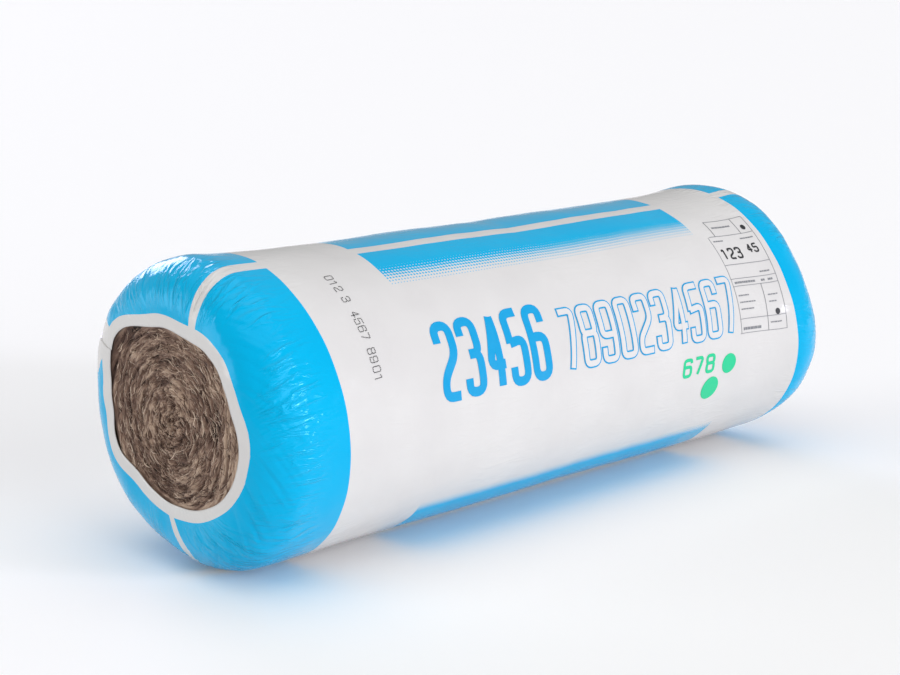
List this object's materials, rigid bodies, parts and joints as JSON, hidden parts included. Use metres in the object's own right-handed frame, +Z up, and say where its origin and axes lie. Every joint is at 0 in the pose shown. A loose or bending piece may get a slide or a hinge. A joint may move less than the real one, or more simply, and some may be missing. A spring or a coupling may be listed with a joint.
{
  "type": "insulation roll",
  "caption": "Lying roll of wound glass wool insulation: mats side by side in a white and blue plastic wrap that is pulled over rounded shoulders and leaves a round opening at each end.",
  "frame": {"origin": "on the surface the roll lies on, under the middle of its length", "axes": "X along the roll's axis, with the front end (the one that shows in the usual view) towards -X; Z up"},
  "size_m": [1.162, 0.4198, 0.42],
  "materials": {
    "glass_wool": "matte matted fibres",
    "printed_film": "glossy printed polyethylene film"
  },
  "bodies": {
    "root": {"wool_roll_front": "glass_wool", "wool_roll_back": "glass_wool", "wrap_film": "printed_film"}
  },
  "joints": []
}
